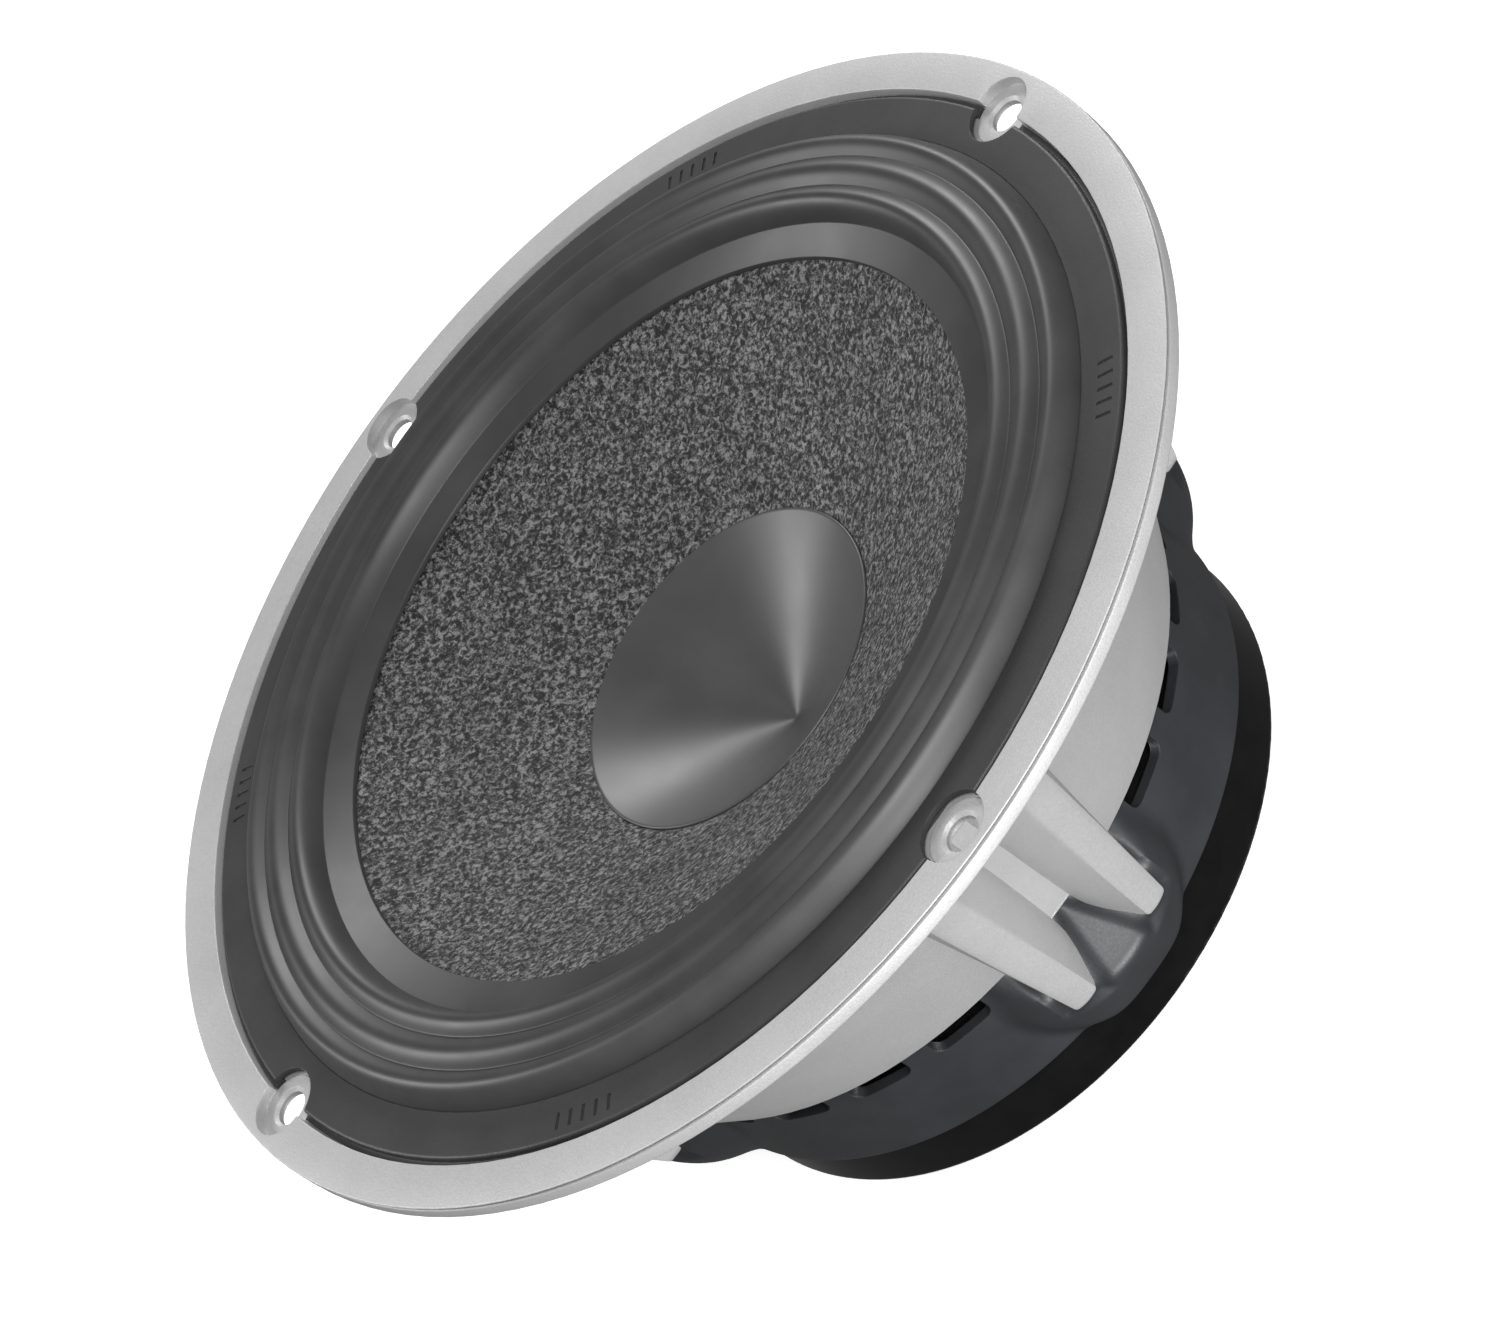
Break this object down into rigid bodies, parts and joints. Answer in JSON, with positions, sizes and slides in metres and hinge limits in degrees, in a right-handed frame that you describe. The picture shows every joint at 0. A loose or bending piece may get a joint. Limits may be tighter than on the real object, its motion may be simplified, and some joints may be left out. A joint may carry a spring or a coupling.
{
  "type": "car subwoofer speaker",
  "caption": "Round moving-coil car loudspeaker with a cast rim, ribbed basket, paper cone, roll surround, ring-magnet motor and vented rear cover.",
  "frame": {"origin": "centre of the screw circle, on the rear mounting face of the flange", "axes": "+Z along the speaker axis, out of the cone towards the listener; screw holes on the X and Y axes; the terminal board is at 45 degrees between +X and +Y"},
  "size_m": [0.165, 0.165, 0.0709],
  "materials": {
    "cast_aluminium": "satin, fine-grained silver paint on die-cast aluminium",
    "gasket_rubber": "matt moulded rubber",
    "surround_rubber": "soft satin butyl rubber",
    "cone_paper": "pressed paper pulp with a fine grey fleck",
    "cap_plastic": "satin moulded polypropylene",
    "former_film": "polyimide film",
    "coil_copper": "enamelled copper wire, close wound",
    "spider_cloth": "resin-stiffened woven cloth",
    "ring_plastic": "moulded plastic",
    "motor_steel": "zinc-plated turned steel",
    "ferrite": "sintered ferrite",
    "ring_copper": "bare copper",
    "screw_steel": "black oxide",
    "shell_plastic": "satin moulded plastic",
    "boot_plastic": "glossy moulded plastic",
    "screen_mesh": "woven wire",
    "board_plastic": "phenolic board",
    "terminal_brass": "tinned brass",
    "rivet_steel": "plated",
    "lead_braid": "tinsel braid"
  },
  "bodies": {
    "chassis": {"basket": "cast_aluminium", "front_gasket": "gasket_rubber", "surround": "surround_rubber", "spider": "spider_cloth", "spider_ring": "ring_plastic", "top_plate": "motor_steel", "magnet": "ferrite", "yoke": "motor_steel", "shorting_ring": "ring_copper", "motor_screws": "screw_steel", "vent_shell": "shell_plastic", "magnet_boot": "boot_plastic", "vent_screen": "screen_mesh", "terminal_board": "board_plastic", "terminal_pos": "terminal_brass", "terminal_neg": "terminal_brass", "terminal_rivets": "rivet_steel", "lead_pos": "lead_braid", "lead_neg": "lead_braid"},
    "diaphragm": {"cone": "cone_paper", "dust_cap": "cap_plastic", "coil_former": "former_film", "voice_coil": "coil_copper"}
  },
  "joints": [
    {"name": "cone_travel", "type": "slide", "parent": "chassis", "child": "diaphragm", "axis": [0, 0, 1], "range_m": [-0.005, 0.005], "stiffness_N_per_m": 2500, "deforming": ["surround", "spider", "lead_pos", "lead_neg"]}
  ]
}
